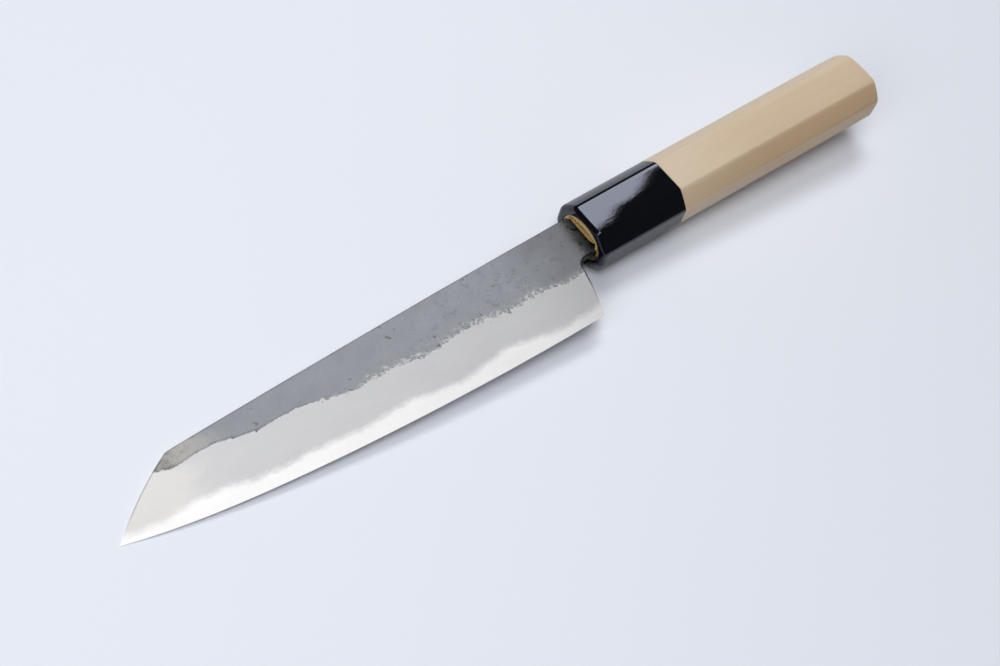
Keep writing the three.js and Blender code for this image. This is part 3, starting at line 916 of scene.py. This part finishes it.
class Shader:
    """The nodes of one finish."""

    def __init__(self, name):
        self.material = bpy.data.materials.new(name)
        self.material.use_nodes = True
        self.tree = self.material.node_tree
        self.surface = next(n for n in self.tree.nodes if n.type == "BSDF_PRINCIPLED")

    def fill(self, socket, value):
        """Links or sets one socket."""
        if isinstance(value, Socket):
            self.tree.links.new(value.link, socket)
        elif socket.type == "RGBA":
            socket.default_value = (*value, 1.0)[:4]
        else:
            socket.default_value = value

    def node(self, kind, output, settings=None, sockets=None):
        """A new node, set up first and then filled, and one of its outputs."""
        made = self.tree.nodes.new("ShaderNode" + kind)
        for key, value in (settings or {}).items():
            setattr(made, key, value)
        for key, value in (sockets or {}).items():
            self.fill(find(made.inputs, key), value)
        return Socket(self, find(made.outputs, output))

    def set(self, **sockets):
        """Fills the surface's own sockets."""
        for key, value in sockets.items():
            self.fill(find(self.surface.inputs, key.replace("_", " ").title().replace("Ior", "IOR")), value)

    def stored(self, name, output="Fac"):
        """A value that the mesh keeps at its points."""
        return self.node("Attribute", output, {"attribute_name": name})

    def stretched(self, place, scale):
        """A place with its three sides stretched."""
        return self.node("VectorMath", "Vector", {"operation": "MULTIPLY"},
                         {"Vector": place, "Vector_001": scale})

    def side(self, place, name):
        """One side of a place."""
        return self.node("SeparateXYZ", name, None, {"Vector": place})

    def noise(self, place, scale, detail=3.0, roughness=0.55):
        """Soft noise from 0 to 1, finer as scale grows: one number, or one for each side of the place."""
        if isinstance(scale, tuple):
            place, scale = self.stretched(place, scale), 1.0
        return self.node("TexNoise", "Fac", None,
                         {"Vector": place, "Scale": scale, "Detail": detail, "Roughness": roughness})

    def step(self, value, low, high):
        """0 at low and 1 at high, with an eased run between."""
        return self.node("MapRange", "Result", {"interpolation_type": "SMOOTHSTEP"},
                         {"Value": value, "From Min": low, "From Max": high})

    def mix(self, first, second, part):
        """A colour part of the way from the first to the second."""
        return self.node("Mix", "Result_Color", {"data_type": "RGBA"},
                         {"Factor_Float": part, "A_Color": first, "B_Color": second})

    def shaded(self, shade, amount):
        """A colour made darker or lighter by a value about 1."""
        grey = self.node("CombineColor", "Color", None, {"Red": amount, "Green": amount, "Blue": amount})
        return self.node("Mix", "Result_Color", {"data_type": "RGBA", "blend_type": "MULTIPLY"},
                         {"Factor_Float": 1.0, "A_Color": shade, "B_Color": grey})

    def bump(self, height, depth):
        """A normal from a height of 0 to 1 that stands for depth."""
        return self.node("Bump", "Normal", None, {"Height": height, "Distance": depth, "Strength": 1.0})


def ground_metal(s, c, at, x, inside_weld):
    """Colour and roughness of honed metal: grey iron that turns to bright hard steel inside the weld line,
    with painted shade towards the heel and painted light towards the tip.
    """
    cloud = s.noise(at, (0.07, 0.2, 0.2), 4)
    haze = s.noise(at, (0.5, 0.9, 0.9), 4, 0.6)
    strokes = s.noise(at, (0.2, 3.0, 3.0), 3)
    narrowed = 1.4 * s.step(x, -44, -14)
    bright = s.step(inside_weld - narrowed + (haze - 0.5) * 1.8, -1.3, 1.5)
    # Painted shade: the bright core is dimmed towards the heel
    bright = bright * (1 - 0.14 * s.step(x + (cloud - 0.5) * 16, -38, -12))
    # Towards the tip the iron takes a warmer tone and, as painted light, a lighter colour
    iron = s.mix(c.bevel, c.bevel_warm_and_lit, s.step(x + (cloud - 0.5) * 30, -126, -142))
    # Random tone, times painted shade that darkens the metal towards the heel
    shade = (0.9 + 0.1 * cloud + 0.06 * haze + 0.04 * strokes) * (1 - 0.12 * s.step(x, -32, -8))
    return s.shaded(s.mix(iron, c.core, bright), shade), 0.44 + 0.06 * strokes, strokes


def scaled_iron(c):
    """Soft iron: blue-grey forge scale with pits on the flats, and a satin bevel below its ragged edge. Its
    rim walls round the neck and choil are darkened, partly as dark patina and partly as painted shade.
    """
    s = Shader("scaled_iron")
    at = s.stored("at", "Vector")
    x, y = s.side(at, "X"), s.side(at, "Y")
    pits = s.stored("pits")
    cloud = s.noise(at, (0.05, 0.1, 0.1), 3)
    mottle = s.noise(at, (0.16, 0.24, 0.24), 4, 0.6)
    patches = s.noise(at, (0.09, 0.04, 0.04), 2)
    grain = s.noise(at, 0.8, 6, 0.65)
    crumb = s.noise(at, 1.1, 4, 0.66)
    grit = s.noise(at, (0.95, 1.14, 0.95), 4, 0.68)
    speck = s.noise(at, 2.3, 2, 0.5)
    above = s.stored("bare") * -13  # about how many millimetres above its lower edge the scale is
    broken = s.step(x + (cloud - 0.5) * 24, -108, -74)
    spread = broken * (0.5 + 0.5 * s.step(patches, 0.35, 0.65))
    to_tip = s.step(x + (cloud - 0.5) * 24, -120, -136)
    worked = s.step(x + (cloud - 0.5) * 20, -84, -40) + to_tip
    below = above.maths("MINIMUM", above, 0.0)
    edge = above + 1.5 * below + (crumb - 0.5) * (1.0 + 5 * spread) + (speck - 0.5) * (0.6 + 1.4 * spread)
    scale = s.step(edge, -0.25, 0.25)

    to_neck = s.step(x + (cloud - 0.5) * 20, -34, -2)
    tone = s.mix(s.mix(c.scale, c.scale_tip, to_tip), c.scale_neck, to_neck)
    tone = s.shaded(tone, 0.72 + 0.16 * grain + 0.14 * cloud + 0.26 * mottle)
    smudge = s.step(s.noise(at, 0.36, 4, 0.7), 0.54, 0.66)
    scratch = s.step(s.noise(at, (0.3, 4.0, 4.0), 2), 0.68, 0.76)
    tone = s.shaded(tone, 1 - (0.05 + 0.15 * worked) * smudge + 0.14 * scratch)
    streak = s.step(s.noise(at, (0.45, 1.3, 1.0), 4, 0.6), 0.42, 0.62)
    tone = s.shaded(tone, 1 - (0.14 + 0.4 * streak) * s.step(x + (mottle - 0.5) * 10, -133, -145))
    band = s.step(above, 0.6 + 4.4 * spread, 0.2) * s.step(above, -1.6, -0.3) * broken
    tone = s.mix(tone, c.scale_band, 0.5 * band)
    fleck = s.step(s.noise(at, 0.75, 4, 0.68), 0.5, 0.56) * s.step(above, 0.4 + 2.4 * spread, 0.8 * spread)
    tone = s.mix(tone, c.bevel, fleck * (0.2 + 0.65 * spread) * broken)
    cluster = s.step(mottle, 0.46, 0.6) * s.step(above, 12, 4) * (0.2 + 0.8 * worked)
    outline = s.step(abs(edge), 0.5, 0.1) * (1 - 0.7 * broken)
    rust = to_tip * s.step(mottle + (speck - 0.5) * 0.2, 0.5, 0.66)
    dark = s.step(grit, 0.57, 0.66) * (0.75 * band + 0.4 * cluster) + 0.45 * outline + 0.4 * rust
    scorch = s.step(x + (grain - 0.5) * 6, -4.5, -1.5) * s.step(y + (mottle - 0.5) * 9, 2, -3)
    soot = s.step(x + (grain - 0.5) * 4, -3.6, -0.6)
    blot = s.step(s.noise(at, 0.62, 3, 0.6), 0.54, 0.62) * s.step(x, -3.4, -1.4)
    # Rim walls round the neck and choil: partly dark patina, partly painted shade where the neck's underside
    # lies in shade
    wall = s.step(s.stored("wall"), 0.05, 0.35) * s.step(x, -14, -8)
    tone = s.mix(tone, c.pit, 0.6 * s.step(pits, 0.1, 0.6))
    tone = s.mix(tone, c.pit, dark + 0.75 * scorch)
    tone = s.shaded(tone, (1 - 0.5 * soot) * (1 - 0.8 * blot))

    metal, metal_roughness, strokes = ground_metal(s, c, at, x, s.stored("above_weld") * -1)
    metal = s.mix(metal, c.scale, 0.4 * s.step(above, 0.0, 1.0))
    metal = s.mix(metal, c.pit, 0.5 * s.step(grit, 0.58, 0.68) * s.step(above, -1.8, -0.1) * broken)
    satin = 0.44 + 0.14 * grain
    s.set(base_color=s.shaded(s.mix(metal, tone, scale), 1 - 0.85 * wall), metallic=0.35,
          roughness=metal_roughness + (satin - metal_roughness) * scale,
          normal=s.bump((grain * 0.6 + speck * 0.4) * scale + 0.04 * strokes, 0.05 * MM))
    return s.material


def core_steel(c):
    """Hard steel, honed bright, hazy by the weld line, with its rim wall under the neck darkened, partly as
    dark patina and partly as painted shade.
    """
    s = Shader("core_steel")
    at = s.stored("at", "Vector")
    x = s.side(at, "X")
    metal, roughness, strokes = ground_metal(s, c, at, x, s.stored("below_weld"))
    # Rim wall under the neck and round the choil: partly dark patina, partly painted shade
    wall = s.step(x, -14, -8) * s.step(s.side(at, "Y"), -20, -15)
    s.set(base_color=s.shaded(metal, 1 - 0.9 * wall), metallic=0.35, roughness=roughness,
          normal=s.bump(0.04 * strokes, 0.05 * MM))
    return s.material


def black_horn(c):
    """Polished black horn with faint brown streaks and a few polishing marks."""
    s = Shader("black_horn")
    at = s.stored("at", "Vector")
    streak = s.noise(at, (0.05, 0.6, 0.6), 4)
    rub = s.noise(at, (0.5, 1.3, 1.3), 5, 0.7)
    s.set(base_color=s.mix(c.horn, c.horn_streak, s.step(streak, 0.55, 0.8) * 0.6),
          roughness=0.012 + 0.02 * s.step(rub, 0.5, 0.75),
          normal=s.bump(rub, 0.0015 * MM),
          specular_tint=c.horn_sheen, ior=1.6)
    return s.material


def handle_wood(c):
    """Pale planed wood with growth rings, long grain and pores, yellowed where it is held, darker on the
    lower slanted faces as painted shade and lighter on the lower face as painted light, and a golden sawn end
    in the ferrule, darker at its low end as painted shade with some scorch."""
    s = Shader("handle_wood")
    at = s.stored("at", "Vector")
    x, y = s.side(at, "X"), s.side(at, "Y")
    pith, ring_width = (0.0, 46.0, 58.0), 2.3
    wander = s.noise(at, (0.018, 0.12, 0.12), 3)
    from_pith = s.node("VectorMath", "Vector", {"operation": "ADD"}, {"Vector": at, "Vector_001": pith})
    across = s.stretched(from_pith, (0.0, 1.0, 1.0))
    ring = s.node("VectorMath", "Value", {"operation": "LENGTH"}, {"Vector": across}) + wander * 5
    late = ring.maths("SINE", ring * (2 * math.pi / ring_width)) * 0.5 + 0.5
    fibre = s.noise(at, (0.045, 1.5, 1.5), 5, 0.6)
    pores = s.step(s.noise(at, (0.3, 5.0, 5.0), 2), 0.66, 0.74)
    cloud = s.noise(at, (0.03, 0.09, 0.09), 2)
    # Paler towards the ferrule and towards the spine side
    pale = s.step(x + (cloud - 0.5) * 40, 78, 34)
    towards_spine = s.step(y, 3.5, 8.5)
    planed_face = s.mix(c.wood, c.wood_pale, 1 - (1 - 0.75 * pale) * (1 - towards_spine))
    lines = 0.05 * late ** 3 + 0.1 * s.step(fibre, 0.5, 0.85) + 0.2 * pores
    planed_face = s.mix(planed_face, c.wood_line, lines * (1 - 0.45 * pale))
    lower = s.step(y, -5.6, -7.6)
    slanted = s.step(abs(s.side(at, "Z")), 2.8, 4.2)
    # Yellowing on the flats' edge side, and on the lower slanted faces partly painted shade
    held = 0.08 * s.step(y, 6, -6) + 0.32 * lower * slanted
    planed_face = s.mix(planed_face, c.wood_held_and_shaded, held * (1 - 0.2 * pale))
    # The last term is painted light: the lower face is made lighter
    planed_face = s.shaded(planed_face, 0.95 + 0.1 * cloud + 0.12 * lower * (1 - slanted))

    # Torn cracks, and painted shade with some scorch at the tenon's low end
    crack = s.stored("crack")
    fleck = s.noise(at, 1.6, 4, 0.7)
    sawn = s.mix(c.tenon, c.tenon_dark, s.step(fleck, 0.55, 0.85) * 0.55)
    sawn = s.mix(sawn, c.tenon_dark, s.step(crack + (fleck - 0.5) * 0.6, 0.25, 0.75) * 0.9)
    # Painted shade, with some scorch: the sawn end below and beside the tang, under the neck, is darkened
    under_tang = s.step(y, -3, -5) * s.step(s.side(at, "Z"), 0.8, -0.8)
    sawn = s.shaded(sawn, 1 - 0.85 * under_tang)
    in_ferrule = s.step(x, 30, 20)
    s.set(base_color=s.mix(planed_face, sawn, in_ferrule), roughness=0.56 + 0.12 * fibre + 0.1 * in_ferrule,
          specular_ior_level=0.36,
          normal=s.bump(fibre - 0.8 * pores + in_ferrule * fleck, 0.03 * MM))
    return s.material


def slip_wood(c):
    """Rough split wood, streaked with dark scorched fibres."""
    s = Shader("slip_wood")
    at = s.stored("at", "Vector")
    fibre = s.noise(at, (1.2, 2.2, 2.2), 4, 0.7)
    tone = s.mix(c.slip, c.tenon_dark, s.step(fibre, 0.48, 0.8) * 0.8)
    s.set(base_color=tone, roughness=0.7 + 0.15 * fibre, normal=s.bump(fibre, 0.08 * MM))
    return s.material


def bedding_resin(c):
    """Set brown resin, clouded, out of sight in the handle."""
    s = Shader("bedding_resin")
    place = s.node("TexCoord", "Object")
    cloud = s.noise(place, 260.0, 4)
    s.set(base_color=s.shaded(c.resin, 0.7 + 0.6 * cloud), roughness=0.4 + 0.2 * cloud,
          normal=s.bump(cloud, 0.05 * MM))
    return s.material


def pale_floor(c):
    """A plain honed table top."""
    s = Shader("pale_floor")
    cloud = s.noise(s.node("TexCoord", "Object"), 3.0, 3)
    s.set(base_color=s.shaded(c.floor, 0.985 + 0.03 * cloud), roughness=0.55)
    return s.material


# Stage

def make_floor(scene):
    """A wide level table top."""
    half = scene.knife_stage.floor_size / 2
    mesh = bpy.data.meshes.new("table_top")
    corners = [(-half, -half, 0), (half, -half, 0), (half, half, 0), (-half, half, 0)]
    mesh.from_pydata(corners, [], [(0, 1, 2, 3)])
    mesh.materials.append(pale_floor(scene.knife_finishes))
    floor = bpy.data.objects.new("table_top", mesh)
    scene.collection.objects.link(floor)


def make_lamp(scene, name, place, long_side, short_side, watts):
    """A level rectangle of light, facing down."""
    data = bpy.data.lights.new(name, "AREA")
    data.shape = "RECTANGLE"
    data.size, data.size_y = long_side, short_side
    data.energy = watts
    lamp = bpy.data.objects.new(name, data)
    lamp.location = place
    scene.collection.objects.link(lamp)
    return lamp


def make_lights(scene):
    """A wide soft window behind the spine, soft lights overhead and beyond the tip, and the room's light."""
    stage = scene.knife_stage
    window = make_lamp(scene, "window", stage.window_place, stage.window_length, stage.window_depth,
                       stage.window_power)
    window.rotation_euler.z = stage.window_turn
    for name in ("overhead", "front"):
        place, size, watts = (getattr(stage, f"{name}_{key}") for key in ("place", "size", "power"))
        lamp = make_lamp(scene, name, place, size, size, watts)
        lamp.rotation_euler = (-Vector(place)).to_track_quat("-Z", "Y").to_euler()
    scene.world = bpy.data.worlds.new("room")
    scene.world.use_nodes = True
    room = scene.world.node_tree.nodes["Background"]
    room.inputs["Color"].default_value = (*scene.knife_finishes.sky, 1)
    room.inputs["Strength"].default_value = stage.room_strength


def make_camera(scene):
    """The photograph's viewpoint, as an aim, a distance and three turns."""
    stage = scene.knife_stage
    turn, lift, roll = stage.camera_turn, stage.camera_lift, stage.camera_roll
    back = Vector((-math.sin(turn) * math.cos(lift), -math.cos(turn) * math.cos(lift), math.sin(lift)))
    level = Vector((math.cos(turn), -math.sin(turn), 0))
    right = level * math.cos(roll) + back.cross(level) * math.sin(roll)
    place = Matrix((right, back.cross(right), back)).transposed().to_4x4()
    place.translation = Vector(stage.camera_aim) + back * stage.camera_distance
    data = bpy.data.cameras.new("camera")
    data.lens = stage.camera_lens
    data.clip_start = 10 * MM
    camera = bpy.data.objects.new("camera", data)
    camera.matrix_world = place
    scene.collection.objects.link(camera)
    scene.camera = camera


# Operators

class KNIFE_OT_hard_core(bpy.types.Operator):
    """Makes the hard steel layer whose bright band shows along the edge"""
    bl_idname = "knife.hard_core"
    bl_label = "Hard core"

    def execute(self, context):
        make_core(context, BladeShape(context.scene.knife_blade))
        return {"FINISHED"}


class KNIFE_OT_cladding(bpy.types.Operator):
    """Makes the two soft iron layers with their forge scale and ground bevels"""
    bl_idname = "knife.cladding"
    bl_label = "Cladding"

    def execute(self, context):
        shape = BladeShape(context.scene.knife_blade)
        iron = scaled_iron(context.scene.knife_finishes)
        make_cladding(context, shape, RIGHT, iron, "right_cladding_iron", "right_cladding")
        make_cladding(context, shape, LEFT, iron, "left_cladding_iron", "left_cladding")
        return {"FINISHED"}


class KNIFE_OT_ferrule(bpy.types.Operator):
    """Makes the polished horn block at the front of the handle"""
    bl_idname = "knife.ferrule"
    bl_label = "Horn ferrule"

    def execute(self, context):
        make_ferrule(context)
        return {"FINISHED"}


class KNIFE_OT_handle(bpy.types.Operator):
    """Makes the octagonal wooden handle with its tenon"""
    bl_idname = "knife.handle"
    bl_label = "Wooden handle"

    def execute(self, context):
        make_handle(context)
        return {"FINISHED"}


class KNIFE_OT_tang_fixing(bpy.types.Operator):
    """Makes the split slip beside the tang and gives the hidden resin its finish"""
    bl_idname = "knife.tang_fixing"
    bl_label = "Slip and resin"

    def execute(self, context):
        make_slip(context)
        resin = frame["nodes"]["tang_bedding"]
        resin.material_slots[0].material = bedding_resin(context.scene.knife_finishes)
        return {"FINISHED"}


class KNIFE_OT_stage(bpy.types.Operator):
    """Makes the pale floor, the soft lights, the room's light and the camera"""
    bl_idname = "knife.stage"
    bl_label = "Stage"

    def execute(self, context):
        scene = context.scene
        make_floor(scene)
        make_lights(scene)
        make_camera(scene)
        scene.view_settings.view_transform = "Standard"
        return {"FINISHED"}


class KNIFE_PT_sidebar(bpy.types.Panel):
    """Lists the knife's pieces and the sizes and colours that they are made from"""
    bl_idname = "KNIFE_PT_sidebar"
    bl_label = "Kiritsuke petty knife"
    bl_space_type = "VIEW_3D"
    bl_region_type = "UI"
    bl_category = "Knife"

    def draw(self, context):
        for operator in OPERATORS:
            self.layout.operator(operator.bl_idname)
        for key in SETTINGS:
            box = self.layout.box()
            settings = getattr(context.scene, key)
            for name in settings.__annotations__:
                box.prop(settings, name)


SETTINGS = {
    "knife_blade": BladeSizes,
    "knife_handle": HandleSizes,
    "knife_finishes": Finishes,
    "knife_stage": StageSettings,
}
OPERATORS = (
    KNIFE_OT_hard_core,
    KNIFE_OT_cladding,
    KNIFE_OT_ferrule,
    KNIFE_OT_handle,
    KNIFE_OT_tang_fixing,
    KNIFE_OT_stage,
)
CLASSES = (*SETTINGS.values(), *OPERATORS, KNIFE_PT_sidebar)


def register():
    for cls in CLASSES:
        bpy.utils.register_class(cls)
    for key, group in SETTINGS.items():
        setattr(bpy.types.Scene, key, PointerProperty(type=group))


def unregister():
    for key in SETTINGS:
        delattr(bpy.types.Scene, key)
    for cls in reversed(CLASSES):
        bpy.utils.unregister_class(cls)


def main():
    """Makes every piece and the stage."""
    register()
    bpy.ops.knife.hard_core()
    bpy.ops.knife.cladding()
    bpy.ops.knife.ferrule()
    bpy.ops.knife.handle()
    bpy.ops.knife.tang_fixing()
    bpy.ops.knife.stage()
    bpy.context.view_layer.update()


if __name__ == "__main__":
    main()
